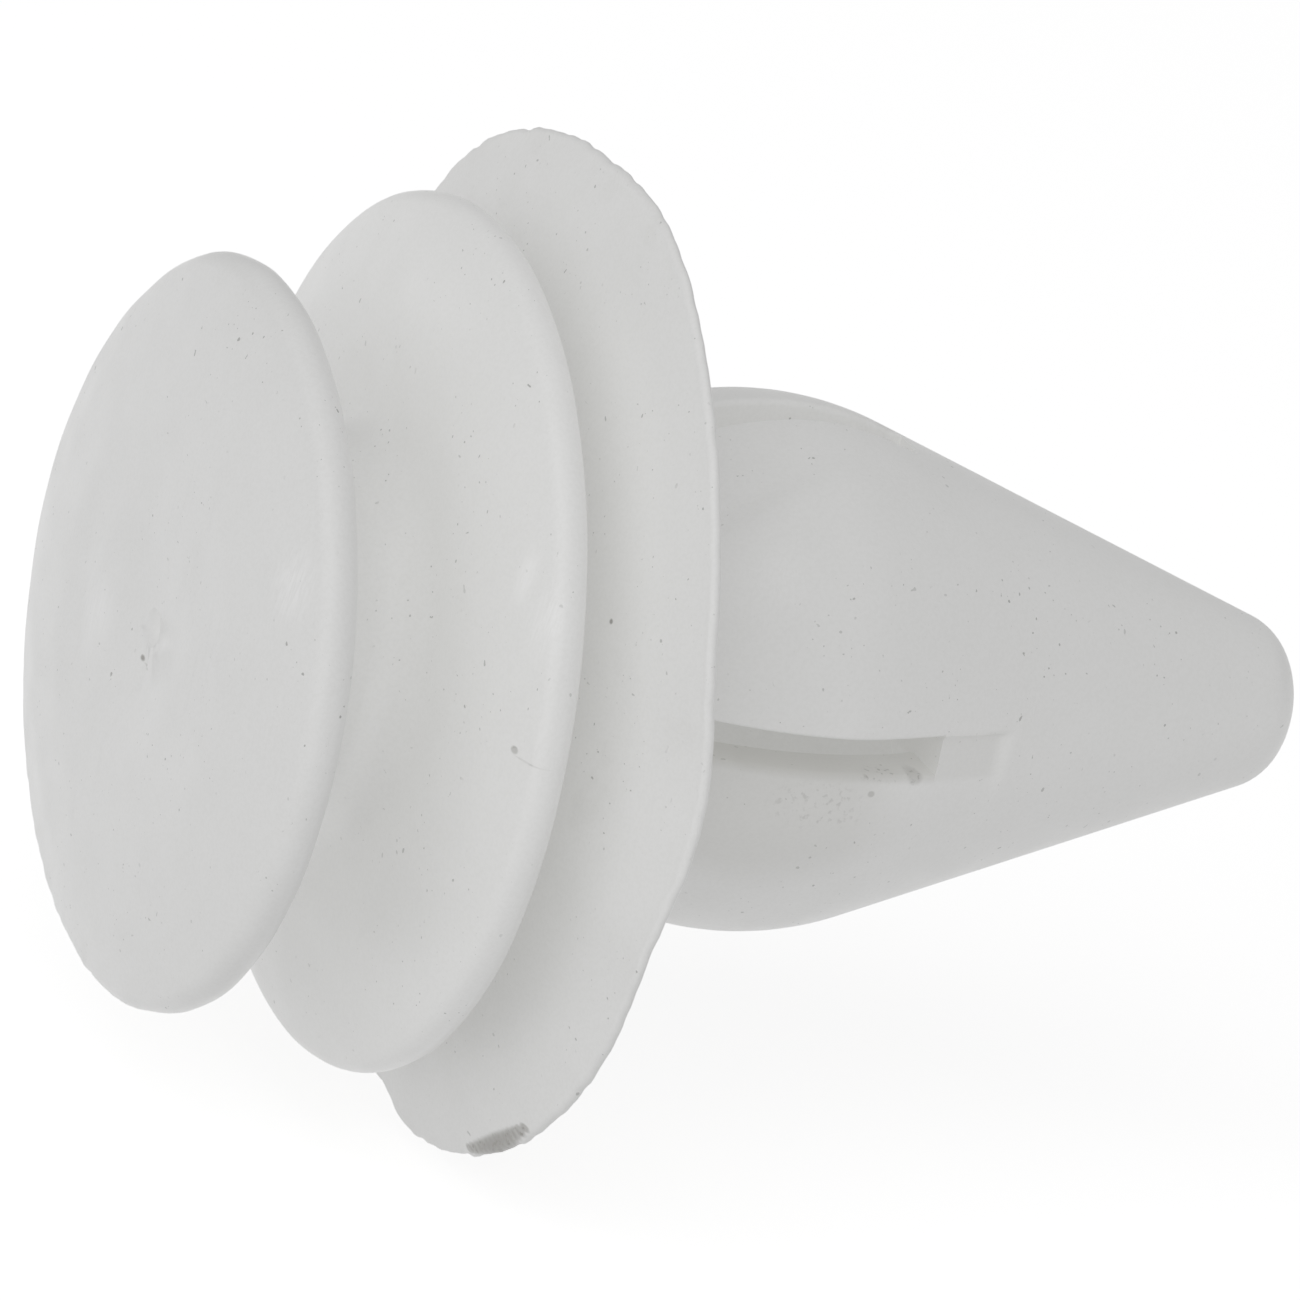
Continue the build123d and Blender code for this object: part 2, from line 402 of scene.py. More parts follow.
def skirt_wave(radius, along, turn):
    """The rim's waves, bulges, nick and flash, all growing as a power of the distance out.

    A bulge is (how far out, where round the rim, half its spread), in millimetres and radians.
    """
    out = np.clip((radius - collar_radius) / (skirt_radius - collar_radius), 0, 1)
    ragged = waves(turn, 11, (14, 31, 47, 61, 83, 109), flash_size)
    bulged = sum(height * bump(apart(turn, middle), spread) for height, middle, spread in rim_bulges)
    push, push_middle, push_spread = rim_push
    pushed = push * bump(apart(turn, push_middle), push_spread)
    along = along + out**3 * (waves(turn, 9, (2, 3, 5, 8), 0.05) + pushed)
    return radius + out**6 * bulged + out**24 * (ragged + waves(turn, 12, (2, 3, 5), 0.06)), along


out = np.linspace(0, 1, 56)
edge = np.linspace(0, np.pi, 11)[1:-1]
rim_centre = skirt_radius - skirt_lip_thickness / 2
span = rim_centre - collar_radius
skirt_front = np.stack([collar_radius + span * out, skirt_middle(out) - skirt_wall(out) / 2], -1)
skirt_back = np.stack([collar_radius + span * out, skirt_middle(out) + skirt_wall(out) / 2], -1)[::-1]
half_lip = skirt_wall(1.0) / 2
lip_edge = np.stack(
    [rim_centre + half_lip * np.sin(edge), skirt_middle(1.0) - half_lip * np.cos(edge)], -1
)
skirt_profile = np.concatenate(
    [[[0, skirt_front[0, 1]]], skirt_front, lip_edge, skirt_back, [[0, skirt_back[-1, 1]]]]
)
skirt = turned("skirt", skirt_profile, skirt_wave, around=360)

# %% [markdown]
# ## The shank's outline
# Behind the panel the shank swells at about thirty degrees to its shoulder, rounds over, and narrows in a
# straight cone to a blunt tip. It is the same outline for the legs, the rails and the nose, so they line up.

# %% Outline
cone_slope = math.radians(20.5)
throat_slope = math.radians(30)
shoulder_round = 6.5
shoulder_at = 4.8
throat_radius = 4.0
half_bend = (cone_slope + throat_slope) / 2
tilt = (throat_slope - cone_slope) / 2
corner_radius = shoulder_radius + shoulder_round * (math.cos(tilt) / math.cos(half_bend) - 1)
corner_at = shoulder_at - shoulder_round * math.sin(tilt) / math.cos(half_bend)


def outline(y):
    """Radius of the shank at y: the cone, the throat's slope and the shoulder's arc, whichever is least."""
    y = np.asarray(y, float)
    cone = corner_radius - (y - corner_at) * math.tan(cone_slope)
    throat = corner_radius + (y - corner_at) * math.tan(throat_slope)
    from_middle = np.clip(y - shoulder_at, -shoulder_round, shoulder_round)
    arc = shoulder_radius - shoulder_round + np.sqrt(shoulder_round**2 - from_middle**2)
    on_arc = (y > shoulder_at - shoulder_round * math.sin(throat_slope)) & (
        y < shoulder_at + shoulder_round * math.sin(cone_slope)
    )
    least = np.where(y < shoulder_at, throat_radius, 0)
    return np.maximum(np.where(on_arc, arc, np.minimum(cone, throat)), least)


print("outline at 0.9, 3, 4.9, 7, 9.5, 16 mm:", np.round(outline([0.9, 3, 4.9, 7, 9.5, 16]), 2))

# %% [markdown]
# ## Nose
# The nose is the part that finds the hole. It is solid and turned, and its end is a blunt round. The rails
# lie a little lower than the legs beside the level slots, and that hollow runs out on the nose: it is deepest
# against the line of the leg's edge, fades across the rail's quarter, and ends in a faint step. Both the
# rails and the nose take their hollow from one function of y and the distance from the slot, so they meet
# evenly.

# %% Nose
tip_length = 1.2
tip_round = 1.3
hollow_end = 9.15
hollow_reach = 1.7
hollow_deep = 0.34
hollow_shallow = 0.13


def ease(x, start, end):
    """0 before start, 1 after end, and 3q^2 - 2q^3 between them."""
    q = np.clip((x - start) / (end - start), 0, 1)
    return q * q * (3 - 2 * q)


def hollow(y, from_slot):
    """How far the rails lie below the outline, from the distance to the middle of the nearest slot."""
    depth = hollow_deep + (hollow_shallow - hollow_deep) * ease(y, slot_end - 1.4, slot_end)
    depth = depth * (1 - ease(y, hollow_end - 0.4, hollow_end))
    return depth * np.clip(1 - (from_slot - half_slot) / hollow_reach, 0, 1) ** 2


def nose_marks(radius, along, turn):
    """The two ends of the hollow, each cut off sharply at the line of the leg's edge."""
    turn_from_slot = turn % np.pi
    to_rail = turn_from_slot > np.pi / 2
    from_slot = radius * np.minimum(turn_from_slot, np.pi - turn_from_slot)
    beyond = np.where(to_rail, 1, 1 - ease(from_slot, half_slot + 0.02, half_slot + 0.11))
    rail_distance = np.where(to_rail, from_slot, 0)
    skin = (along > slot_end - 0.01) & (radius > 0.97 * outline(along))
    lower = hollow(along, np.maximum(rail_distance, half_slot)) * beyond * skin
    radius = radius - lower
    return radius + waves(turn, 21, (2, 3, 5), 0.008) * ease(along, slot_end + 1.5, slot_end + 4), along


tip_start = tip_at - tip_length
nose_along = np.linspace(slot_end, tip_start, 90)
nose_skin = np.stack([outline(nose_along), nose_along], -1)
nose_end = rounded([(outline(tip_start), tip_start, 0), (outline(tip_at), tip_at, tip_round), (0, tip_at, 0)])
nose_profile = np.concatenate([[[0, slot_end]], nose_skin, nose_end[1:]])
nose = turned("nose", nose_profile, nose_marks, around=480)

# %% [markdown]
# ## Legs and rails
# Two crossing slots cut the shank in quarters. Two of the quarters, the legs, are thin shells that are free
# at the panel's end and bend where they thin down just before the nose. The other two, the rails, are fixed
# to the web. One function makes them all: at each y, a closed loop that is a bar bent round the axis. The bar
# is drawn in two numbers, s across the quarter and t through the wall, both from 0 to 1, with elliptical
# corners. Polar coordinates then bend it: the radius is inner + t (outer - inner), and the angle runs from
# one slot to the other.

# %% A bar bent round the axis


def bar_side(round_across, round_through, count=26, corner=9, wall=3):
    """Half of the bar's outline, from the middle of one edge over the face to the middle of the other edge.

    round_across and round_through are the corner's half axes, as columns with one row for each station.
    """
    quarter = np.linspace(0, np.pi / 2, corner)[None, :]
    up = np.linspace(0.06, 1, wall)[None, :-1]
    edge_t = 0.5 + up * (0.5 - round_through)
    corner_s = round_across * (1 - np.cos(quarter))
    corner_t = 1 - round_through * (1 - np.sin(quarter))
    face_s = round_across + (1 - 2 * round_across) * np.linspace(0, 1, count)[None, 1:-1]
    s = np.concatenate([edge_t * 0, corner_s, face_s, 1 - corner_s[:, ::-1], edge_t * 0 + 1], 1)
    t = np.concatenate([edge_t, corner_t, face_s * 0 + 1, corner_t[:, ::-1], edge_t[:, ::-1]], 1)
    return s, t


def bent_bar(name, y, outer, inner, outer_round, inner_round, shrink, turn_start, gap):
    """Carries the bent bar along the axis.

    outer(y, angle) is the outer radius, inner the inner radius, outer_round and inner_round the corners'
    radii and shrink the share of the section that is left, all with one row for each y. The quarter starts at
    turn_start, in quarter turns, and its edges stay gap away from the middles of the slots.
    """
    y = y[:, None]
    wall = outer(y, np.pi / 4) - inner
    width = outer(y, np.pi / 4) * np.pi / 2 - 2 * gap
    face_s, face_t = bar_side(outer_round / width, np.minimum(outer_round / wall, 0.48))
    back_s, back_t = bar_side(inner_round / width, np.minimum(inner_round / wall, 0.48))
    s = np.concatenate([face_s, back_s[:, ::-1]], 1)
    t = np.concatenate([face_t, 1 - back_t[:, ::-1]], 1)
    s = 0.5 + (s - 0.5) * (0.9 + 0.1 * shrink)
    t = 0.5 + (t - 0.5) * shrink
    radius = inner + t * wall
    for _ in range(3):
        first = np.arcsin(gap / radius)
        angle = first + s * (np.pi / 2 - 2 * first)
        radius = inner + t * (outer(y, angle) - inner)
    angle = angle + turn_start * np.pi / 2
    rings = np.stack([radius * np.cos(angle), y + 0 * angle, radius * np.sin(angle)], -1)
    count, around = rings.shape[:2]
    return mesh_object(name, rings.reshape(-1, 3), [ring_faces(count, around), *end_strips(count, around)])


def stations(start, end, round_end, count):
    """Places along the axis, closer together over the round at the start."""
    over_round = start + round_end * (1 - np.cos(np.linspace(0, np.pi / 2, 9)))
    return np.concatenate([over_round, np.linspace(start + round_end, end, count)[1:]])


# %% [markdown]
# ## Spring legs
# A leg's outside is the shank's outline with a low pad on it, which catches behind the panel. The pad starts
# at the slot below and stops short of the slot above, where the leg is cut a little hollow near its free end.
# The pad and the hollow are smooth steps in the angle round the axis, and both fade out towards the nose.
# Near the nose the inside of the leg is cut away too, and what is left there is the living hinge.

# %% Spring legs
leg_wall = 1.1
hinge_wall = 0.55
leg_round = 0.09
leg_clearance = 0.11
free_end_round = 0.35
pad_height = 0.12
pad_hollow = 0.27


def leg_outside(y, angle):
    """Outline, plus the pad below its slanting edge, less the hollow above that edge."""
    edge = math.radians(50) + math.radians(17) * ease(y, 2.0, 5.8)
    above = ease(angle, edge - 0.05, edge + 0.10)
    pad = pad_height * (1 - above) * (1 - ease(y, 5.0, slot_end - 0.6))
    cut = pad_hollow * above * (1 - ease(y, 2.6, 5.6)) * (1 - 0.6 * ease(angle, 1.25, 1.5))
    return outline(y) + pad - cut


leg_y = stations(leg_low[1], slot_end, free_end_round, 70)
leg_column = leg_y[:, None]
thinning = ease(leg_column, slot_end - 0.7, slot_end - 0.2)
leg_inside = outline(leg_column) - leg_wall + (leg_wall - hinge_wall) * thinning
from_end = np.clip((leg_column - leg_low[1]) / free_end_round, 0, 1)
leg_shrink = np.maximum(np.sqrt(1 - (1 - from_end) ** 2), 0.12)
legs = {}
for name, turn_start in (("upper_spring_leg", 0), ("lower_spring_leg", 2)):
    legs[name] = bent_bar(
        name + "_shell", leg_y, leg_outside, leg_inside, leg_round + 0 * leg_column, 0.2 + 0 * leg_column,
        leg_shrink, turn_start, half_slot + leg_clearance,
    )

# %% [markdown]
# ## Rails and web
# The rails are the quarters that don't move. Their long edges by the slots are well rounded, so that they
# clear the hole's edge while the legs close, and the round dies away where they run into the nose. The web
# joins them through the middle of the shank. It thickens towards both rails like the web of a beam.

# %% Rails
rail_wall = 1.3
rail_round = 0.14


def rail_outside(y, angle):
    """The shank's outline less the hollow beside the level slot."""
    return outline(y) - hollow(y, outline(y) * (np.pi / 2 - angle))


rail_y = np.linspace(rail_low[1], slot_end, 80)
rail_column = rail_y[:, None]
rail_inside = outline(rail_column) - rail_wall - hollow_shallow
rail_corner = rail_round * (1 - 0.9 * ease(rail_column, slot_end - 0.25, slot_end))
rails = {}
for name, turn_start in (("lower_rail", 3), ("upper_rail", 1)):
    rails[name] = bent_bar(
        name + "_quarter", rail_y, rail_outside, rail_inside, rail_corner, 0.12 + 0 * rail_column,
        1 + 0 * rail_column, turn_start, half_slot,
    )

# %% Web
web_thickness = 2.4
web_flare = 0.7


def web_between_rails():
    """A slab across the diagonal: half as thick as web_thickness plus a flare that grows as distance^6."""
    y = np.linspace(collar_high[1], slot_end, 40)[:, None]
    across = np.linspace(-1, 1, 41)[None, :]
    reach = outline(y) - 0.6 * rail_wall
    half = web_thickness / 2 + web_flare * np.abs(across) ** 6 + 0 * y
    distance = reach * across
    diagonal = math.sqrt(0.5)
    one_side = np.stack([(distance - half) * diagonal, y + 0 * distance, (-distance - half) * diagonal], -1)
    other_side = np.stack([(distance + half) * diagonal, y + 0 * distance, (-distance + half) * diagonal], -1)
    rings = np.concatenate([one_side, other_side[:, ::-1]], 1)
    count, around = rings.shape[:2]
    return mesh_object("spine", rings.reshape(-1, 3), [ring_faces(count, around), *end_strips(count, around)])


spine = web_between_rails()

# %% [markdown]
# ## Bodies
# The legs and the skirt bend where the nylon is thin. The pieces of the core ride on the core's body; the
# legs and the skirt are baked in place and follow no body.

# %% Riding
core_pieces = {
    head: ["head_disc"],
    neck: ["neck_post"],
    flange: ["retaining_flange"],
    collar: ["seat_collar"],
    nose: ["nose_cone"],
    spine: ["spine_web"],
    rails["lower_rail"]: ["lower_rail"],
    rails["upper_rail"]: ["upper_rail"],
}
for piece, nodes in core_pieces.items():
    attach(piece, "core")
    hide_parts(*nodes)

for body, leg_node in (("upper_spring_leg", "upper_leg"), ("lower_spring_leg", "lower_leg")):
    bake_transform(legs[body])
    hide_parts(leg_node, leg_node + "_hinge")

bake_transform(skirt)
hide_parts("skirt_root", "skirt_lip")

# %% [markdown]
# ## Writing shaders as sums
# A material's node tree is easier to read as arithmetic. `Value` wraps one socket, and the operators on it
# add Math nodes. Every other node comes from `Finish.node`, which sets the node's own settings first and then
# its sockets, whether they are numbers or links. The methods after it are the few marks that the nylon needs,
# and the painted highlights and painted shade that stand in for light.

# %% Shader arithmetic


class Value:
    """One output socket of a finish. +, - and * on it, from either side, add Math nodes."""

    def __init__(self, finish, socket):
        self.finish = finish
        self.socket = socket

    def math(self, operation, first, second=None):
        """A Math node with one or two inputs."""
        numbers = {0: first} if second is None else {0: first, 1: second}
        return self.finish.node("ShaderNodeMath", {"operation": operation}, numbers)

    def __add__(self, other):
        return self.math("ADD", self, other)

    def __sub__(self, other):
        return self.math("SUBTRACT", self, other)

    def __rsub__(self, other):
        return self.math("SUBTRACT", other, self)

    def __mul__(self, other):
        return self.math("MULTIPLY", self, other)

    def size(self):
        """The value without its sign."""
        return self.math("ABSOLUTE", self)

    __radd__ = __add__
    __rmul__ = __mul__


class Finish:
    """A material with a Principled shader, and the means to add nodes to it."""

    def __init__(self, name):
        self.material = bpy.data.materials.new(name)
        self.material.use_nodes = True
        self.tree = self.material.node_tree
        self.shader = self.tree.nodes["Principled BSDF"]
        self.place = self.node("ShaderNodeTexCoord", output="Object")

    def node(self, kind, settings=None, sockets=None, output=0):
        """Adds a node: settings first, then socket values or links. Returns one output as a Value."""
        node = self.tree.nodes.new(kind)
        for key, setting in (settings or {}).items():
            setattr(node, key, setting)
        for key, given in (sockets or {}).items():
            if isinstance(given, Value):
                self.tree.links.new(given.socket, node.inputs[key])
            else:
                node.inputs[key].default_value = given
        return Value(self, node.outputs[output])

    def noise(self, scale, detail=3.0, where=None):
        """Noise from 0 to 1, scale in waves per metre."""
        sockets = {"Vector": where or self.place, "Scale": scale, "Detail": detail}
        return self.node("ShaderNodeTexNoise", {"noise_dimensions": "3D"}, sockets)

    def between(self, value, low, high):
        """0 below low, 1 above high, and smooth between them."""
        sockets = {"Value": value, "From Min": low, "From Max": high}
        return self.node("ShaderNodeMapRange", {"interpolation_type": "SMOOTHSTEP"}, sockets)

    def blend_colours(self, amount, first, second):
        """first where amount is 0 and second where it is 1."""
        return self.node("ShaderNodeMix", {"data_type": "RGBA"}, {0: amount, 6: first, 7: second}, output=2)

    def spot(self, place, size, broken, soft=0.5):
        """1 near a place in millimetres, fading to 0 at its size along each axis.

        broken, from 0 to 1, turns the spot into dots. soft is the share of the size over which it fades.
        """
        scale = tuple(1 / (MM * s) for s in size)
        shifted = tuple(-p / s for p, s in zip(place, size))
        sockets = {"Vector": self.place, "Scale": scale, "Location": shifted}
        near = self.node("ShaderNodeMapping", sockets=sockets)
        away = self.node("ShaderNodeVectorMath", {"operation": "LENGTH"}, {0: near}, output=1)
        dots = self.between(self.noise(8000, 2), 0.54, 0.70)
        return self.between(1 - away, 0.0, soft) * (1 - broken + dots * broken)

    def glint_streaks(self, place, size, broken):
        """Like spot, but broken turns it into short fine lines that run up and down: the streaks of a painted
        highlight.
        """
        near = self.spot(place, size, 0.0, soft=1.0)
        lines = self.between(self.noise(1.0, 3, self.stretched((16000, 16000, 1300))), 0.36, 0.68)
        return near * near * (1 - broken + lines * broken)

    def slot_shade_mask(self):
        """Where the slots' painted shade goes: 1 on walls that line the level slots, 0 a fifth of a
        millimetre outside them and on the nose.
        """
        parts = self.node("ShaderNodeSeparateXYZ", sockets={"Vector": self.place}).socket.node.outputs
        height = Value(self, parts["Z"]).size()
        beyond = self.between(height, (half_slot + 0.02) * MM, (half_slot + 0.22) * MM)
        past = self.between(Value(self, parts["Y"]), (hollow_end - 0.5) * MM, hollow_end * MM)
        return (1 - beyond) * (1 - past)

    def stretched(self, scale):
        """The place, scaled by a different number along each axis, for marks that run one way."""
        return self.node("ShaderNodeMapping", sockets={"Vector": self.place, "Scale": scale})

    def set(self, **uniform):
        """Sets numbers that are the same all over on the shader itself."""
        for key, number in uniform.items():
            self.shader.inputs[key.replace("_", " ")].default_value = number

    def feed(self, socket, value):
        """Links a value that varies over the piece to one of the shader's sockets."""
        self.tree.links.new(value.socket, self.shader.inputs[socket])


# %% [markdown]
# ## Natural nylon
# Undyed nylon is a milky off-white. Light goes a little way into it and comes out again, which softens every
# shadow: a faint even glow stands for that light. The skin that the mould leaves is satin, not glossy. Loose
# clips rattle about in a bag, so they pick up dust, small dark specks, smears of grime and hair-fine
# scratches.
# Some colour stands in for light: pale streaks are painted highlights where glints fall on the head, the
# flange
# and a leg, and the slot walls, the web and a patch of rail under the leg are painted darker as shade. The
# recipe:
# a base colour that drifts slightly and has a fine grain, specks as a thresholded noise in patches, a bump of
# mould grain, and roughness that the scratches and the grain break up.

# %% Nylon
NYLON = (0.85, 0.85, 0.84, 1)
NYLON_WARM = (0.78, 0.78, 0.765, 1)
# Pale colour for painted highlights, where glints of light fall.
PAINTED_GLINT = (0.98, 0.98, 0.975, 1)
THROUGH_LIGHT = (1.0, 1.0, 0.97, 1)
SPECK = (0.10, 0.10, 0.085, 1)
# A grey-brown used for real grime smears and also for painted shade in the slots and under the overhanging
# leg.
GRIME_AND_SHADE = (0.36, 0.35, 0.30, 1)
DIRT = (0.13, 0.12, 0.10, 1)


def nylon(name, glow, specks=1.0, scratches=0.0, grime_and_shade=0.0, marks=(), painted_slot_shade=0.0, gloss=0.0):
    """A nylon finish. The numbers say how much of each mark a piece has.

    marks holds the places where one piece has a painted highlight, dirt or painted shade: (tint, place, size,
    strength, broken).
    """
    f = Finish(name)
    drift = f.between(f.noise(260, 4), 0.35, 0.7)
    cloud = f.between(f.noise(1100, 5), 0.3, 0.75)
    fine = f.noise(9000, 3)
    grain = f.between(f.noise(13000, 2), 0.38, 0.66)
    colour = f.blend_colours(drift * 0.15 + cloud * 0.15 + grain * 0.4, NYLON, NYLON_WARM)
    dots = f.between(f.noise(11000, 1), 0.74, 0.79) + f.between(f.noise(7000, 0), 0.825, 0.85)
    patches = f.between(f.noise(420, 2), 0.40, 0.62)
    speck = dots * patches * specks
    colour = f.blend_colours(speck * 0.75, colour, SPECK)
    # Blotchy smears of grime; on the web they also serve as painted shade.
    if grime_and_shade:
        smear = f.between(f.noise(900, 6), 0.52, 0.72) * f.between(f.noise(230, 2), 0.5, 0.68) * grime_and_shade
        colour = f.blend_colours(smear, colour, GRIME_AND_SHADE)
    # The walls along the level slots, and the hollow beside them, are painted darker as shade.
    if painted_slot_shade:
        colour = f.blend_colours(f.slot_shade_mask() * painted_slot_shade, colour, GRIME_AND_SHADE)
    # Painted highlights are drawn as streaks; dirt and painted shade as spots.
    for tint, place, size, strength, broken in marks:
        shape = f.glint_streaks if tint == PAINTED_GLINT else f.spot
        colour = f.blend_colours(shape(place, size, broken) * strength, colour, tint)
    f.feed("Base Color", colour)
    coarse = f.noise(1500, 3)
    rough = 0.40 - gloss + cloud * 0.08 + fine * 0.05
    height = fine * 0.5 + coarse * 0.8
    if scratches:
        lines = f.between(f.noise(1.0, 2, f.stretched((9000, 9000, 500))), 0.60, 0.68)
        cross = f.between(f.noise(1.0, 2, f.stretched((4000, 4000, 12000))), 0.66, 0.72)
        mark = (lines + cross * 0.5) * f.between(f.noise(350, 2), 0.45, 0.65) * scratches
        height = height - mark * 1.2
        rough = rough + mark * 0.12
    f.feed("Roughness", rough)
    bumped = f.node("ShaderNodeBump", sockets={"Strength": 0.22, "Distance": 0.00003, "Height": height})
    f.feed("Normal", bumped)
    f.set(IOR=1.53, Specular_IOR_Level=0.4, Emission_Color=THROUGH_LIGHT, Emission_Strength=glow)
    return f.material


# %% Painted highlights, painted shade and dirt
# Each is (tint, place in mm, half its size along X, Y and Z, strength, how broken up).
head_spots = [
    # The three pale streaks are painted highlights where glints fall on the dimple's wall, the gate stub and
    # the rim. The dark spots are a pit and a dark line.
    (PAINTED_GLINT, (-2.0, head_low[1], -0.85), (1.1, 0.9, 1.7), 0.8, 0.45),
    (PAINTED_GLINT, (0.95, head_low[1], -0.3), (0.45, 0.8, 0.28), 0.7, 0.2),
    (PAINTED_GLINT, (5.9, head_low[1] + 0.3, 2.95), (1.4, 0.9, 1.6), 1.0, 0.8),
    (DIRT, (0.0, head_low[1], -0.97), (0.10, 0.6, 0.10), 0.9, 0.0),
    (DIRT, (0.25, head_low[1], -1.05), (0.28, 0.6, 0.05), 0.6, 0.3),
]
flange_spots = [
    # The two pale patches are painted highlights where glints fall near the rim; the dark ones are a mark and
    # a line of dirt.
    (PAINTED_GLINT, (6.75, flange_low[1] + 1.35, 3.85), (0.55, 0.9, 1.2), 0.9, 0.5),
    (PAINTED_GLINT, (7.7, flange_low[1] + 1.5, 3.3), (0.9, 0.9, 1.5), 0.8, 0.7),
    (DIRT, (7.9, flange_low[1] + 1.4, 0.66), (0.13, 0.6, 0.10), 0.8, 0.3),
    (DIRT, (8.25, flange_low[1] + 1.7, 0.56), (0.45, 0.9, 0.03), 0.40, 0.5),
]
skirt_spots = [
    (DIRT, (6.5, -0.8, 2.95), (0.08, 0.5, 0.08), 0.9, 0.0),
]
smudge_steps = 14
smudge_radius = 9.97
for step in range(smudge_steps):
    rim_angle = math.radians(-66 + 1.15 * step)
    rim_place = (smudge_radius * math.cos(rim_angle), -0.15, smudge_radius * math.sin(rim_angle))
    smudge = 0.10 + 0.13 * math.sin(math.pi * step / (smudge_steps - 1))
    skirt_spots.append((DIRT, rim_place, (smudge + 0.14, 0.6, smudge), 1.0, 0.3))
# A painted highlight on the leg's pad.
leg_spots = [(PAINTED_GLINT, (4.2, 3.5, 3.35), (1.4, 1.3, 1.4), 0.45, 0.7)]
rail_spots = [
    # The broad soft patch is painted shade on the rail under the overhanging leg; the spots after it are
    # dirt.
    (GRIME_AND_SHADE, (5.0, 3.5, -1.2), (3.0, 3.9, 2.3), 0.28, 0.0),
    (DIRT, (4.7, 6.95, -0.38), (0.6, 0.22, 0.22), 0.8, 0.6),
    (DIRT, (4.8, 6.2, -0.42), (0.6, 0.6, 0.14), 0.7, 0.9),
    (DIRT, (5.0, 6.0, -0.75), (0.6, 0.10, 0.08), 0.6, 0.2),
    (DIRT, (5.1, 4.9, -1.05), (0.9, 1.3, 0.60), 0.30, 1.0),
]

# %% Finishes of the pieces
finishes = {
    head: nylon("nylon_head", 0.04, scratches=1.0, marks=head_spots, gloss=0.12),
    neck: nylon("nylon_neck", 0.07, specks=0.6, grime_and_shade=0.08),
    flange: nylon("nylon_flange", 0.075, scratches=0.6, marks=flange_spots, gloss=0.10),
    collar: nylon("nylon_collar", 0.05, specks=0.5, grime_and_shade=0.4),
    skirt: nylon("nylon_skirt", 0.045, specks=0.9, grime_and_shade=0.08, marks=skirt_spots),
    nose: nylon("nylon_nose", 0.07, scratches=0.4, painted_slot_shade=0.16),
    # The web lies deep between the slots, so its grime stands for painted shade there.
    spine: nylon("nylon_spine", 0.06, specks=0.5, grime_and_shade=0.3),
}
rail_finish = nylon("nylon_rail", 0.07, grime_and_shade=0.15, marks=rail_spots, painted_slot_shade=0.36)
leg_finish = nylon("nylon_leg", 0.07, scratches=0.6, marks=leg_spots, painted_slot_shade=0.2)
finishes.update({piece: rail_finish for piece in rails.values()})
finishes.update({piece: leg_finish for piece in legs.values()})
for piece, finish in finishes.items():
    piece.data.materials.clear()
    piece.data.materials.append(finish)
for name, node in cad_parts.items():
    for material_slot in node.material_slots:
        material_slot.material = leg_finish

# %% [markdown]
# ## Stage, light and camera
# A plain pale floor. A large soft light near the camera, a little high and to its left, models the forms
# gently. A weak one above the camera lifts the shadows, and a very weak one from far left brightens the faces
# that look that way. The world fills the rest.

# %% Stage
low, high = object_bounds()
floor_mesh = bpy.data.meshes.new("floor")
floor_size = 8
floor_z = low.z - 0.0002
floor_mesh.from_pydata(
    [(x * floor_size, y * floor_size, floor_z) for x, y in ((-1, -1), (1, -1), (1, 1), (-1, 1))],
    [],
    [(0, 1, 2, 3)],
)
floor = bpy.data.objects.new("floor", floor_mesh)
bpy.context.scene.collection.objects.link(floor)
floor_finish = Finish("pale_floor")
floor_finish.feed(
    "Base Color",
    floor_finish.blend_colours(floor_finish.noise(40, 3), (0.93, 0.93, 0.93, 1), (0.95, 0.95, 0.95, 1)),
)
floor_finish.set(Roughness=0.9, Emission_Color=(1, 1, 1, 1), Emission_Strength=0.62)
floor.data.materials.append(floor_finish.material)
floor.visible_diffuse = False
floor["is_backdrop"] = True

world = bpy.data.worlds.new("studio")
bpy.context.scene.world = world
world.use_nodes = True
background = world.node_tree.nodes["Background"]
background.inputs["Color"].default_value = (1, 1, 1, 1)
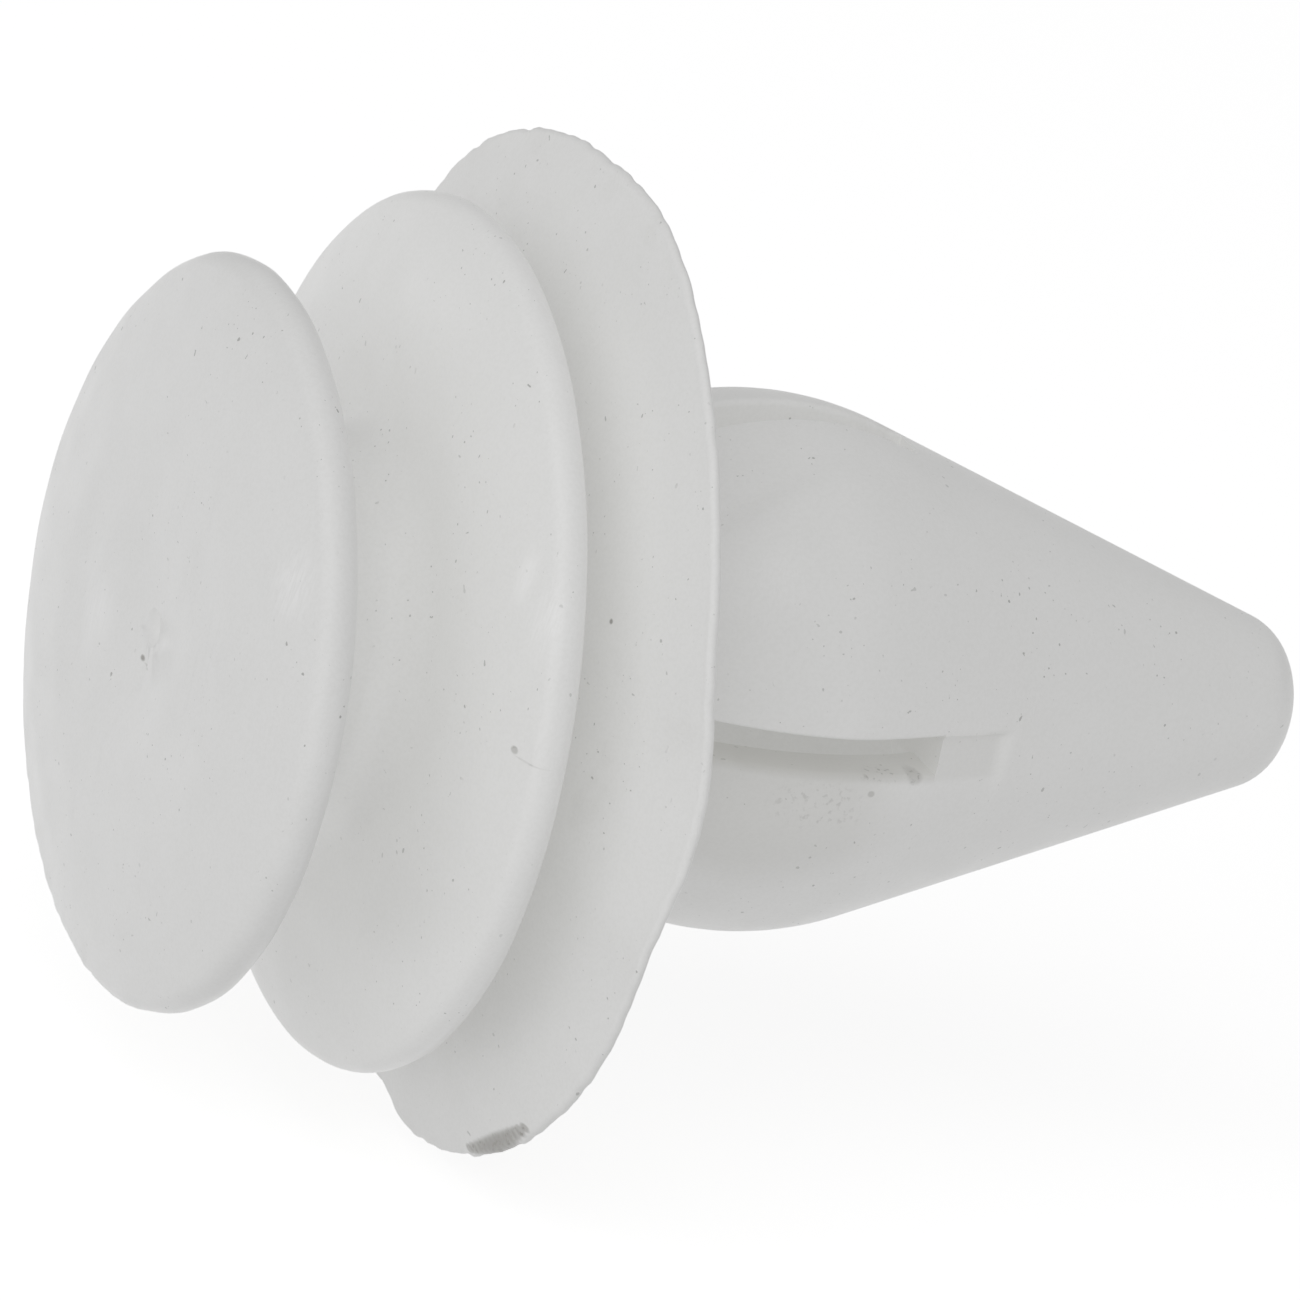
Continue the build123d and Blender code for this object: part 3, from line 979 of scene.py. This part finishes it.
background.inputs["Strength"].default_value = 0.29
bpy.context.scene.view_settings.view_transform = "Standard"
bpy.context.scene.view_settings.gamma = 1.5

# %% Camera
AZIMUTH = math.radians(65.1)
ELEVATION = math.radians(18.4)
ROLL = math.radians(12.98)
LENS = 1260.0
SENSOR = 36.0
FRAME_WIDTH_MM = 25.42
ASIDE_MM = (2.725, -0.18, 0)
look_at = Vector((0, 0, 0))

toward_camera = Vector(
    (
        math.sin(AZIMUTH) * math.cos(ELEVATION),
        -math.cos(AZIMUTH) * math.cos(ELEVATION),
        math.sin(ELEVATION),
    )
)
distance = FRAME_WIDTH_MM * MM * LENS / SENSOR
camera_data = bpy.data.cameras.new("camera")
camera_data.lens = LENS
camera_data.sensor_width = SENSOR
camera_data.clip_start = 0.01
camera_data.clip_end = 10
camera = bpy.data.objects.new("camera", camera_data)
bpy.context.scene.collection.objects.link(camera)
facing = (-toward_camera).to_track_quat("-Z", "Y").to_matrix().to_4x4()
turned_camera = facing @ Matrix.Rotation(ROLL, 4, "Z")
aside = turned_camera.to_3x3() @ Vector(ASIDE_MM) * MM
camera.matrix_world = Matrix.Translation(look_at + aside + toward_camera * distance) @ turned_camera
bpy.context.scene.camera = camera

# %% Lights
LIGHT_DISTANCE = 0.40


def soft_light(name, direction, size, watts):
    """A square area light that faces the clip, in a direction given in the camera's own axes."""
    data = bpy.data.lights.new(name, "AREA")
    data.size = size
    data.energy = watts
    light = bpy.data.objects.new(name, data)
    bpy.context.scene.collection.objects.link(light)
    away = (camera.matrix_world.to_3x3() @ Vector(direction)).normalized()
    light.location = look_at + away * LIGHT_DISTANCE
    light.rotation_euler = (-away).to_track_quat("-Z", "Y").to_euler()


soft_light("key", (-0.36, 0.28, 0.90), 0.50, 0.57)
soft_light("fill", (0.05, 0.45, 0.88), 0.40, 0.12)
soft_light("left", (-1.0, 0.10, -0.30), 0.04, 0.11)

low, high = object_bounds()
print("visual box in mm:", [round(v / MM, 2) for v in low], [round(v / MM, 2) for v in high])
